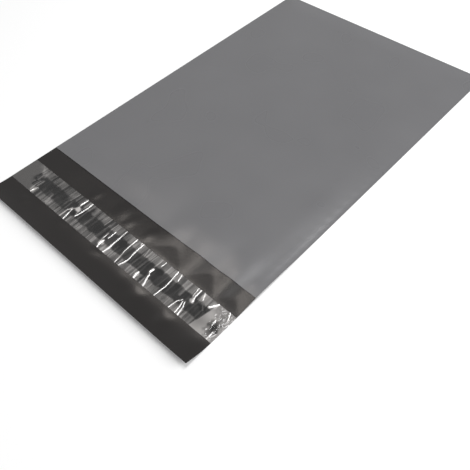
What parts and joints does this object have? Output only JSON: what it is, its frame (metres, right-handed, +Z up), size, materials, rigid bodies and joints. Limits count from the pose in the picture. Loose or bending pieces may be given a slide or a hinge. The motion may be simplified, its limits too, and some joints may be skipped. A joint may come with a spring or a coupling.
{
  "type": "poly mailer bag",
  "caption": "Flat grey mailing bag of plastic film, with an open mouth, a black closing lip, and a strip of adhesive on the lip under a clear wrinkled release liner.",
  "frame": {"origin": "under the middle of the flat bag's outline, lip included, on the surface that the bag lies on", "axes": "+X across to the bag's right side, +Y from the lip's free edge to the bottom fold, +Z up out of the front panel"},
  "size_m": [0.165, 0.278, 0.0037],
  "materials": {
    "polyethylene_film": "satin",
    "hot_melt_adhesive": "gloss",
    "clear_liner_film": "gloss"
  },
  "bodies": {
    "root": {"bag_film": "polyethylene_film", "adhesive_strip": "hot_melt_adhesive", "release_liner": "clear_liner_film"}
  },
  "joints": []
}
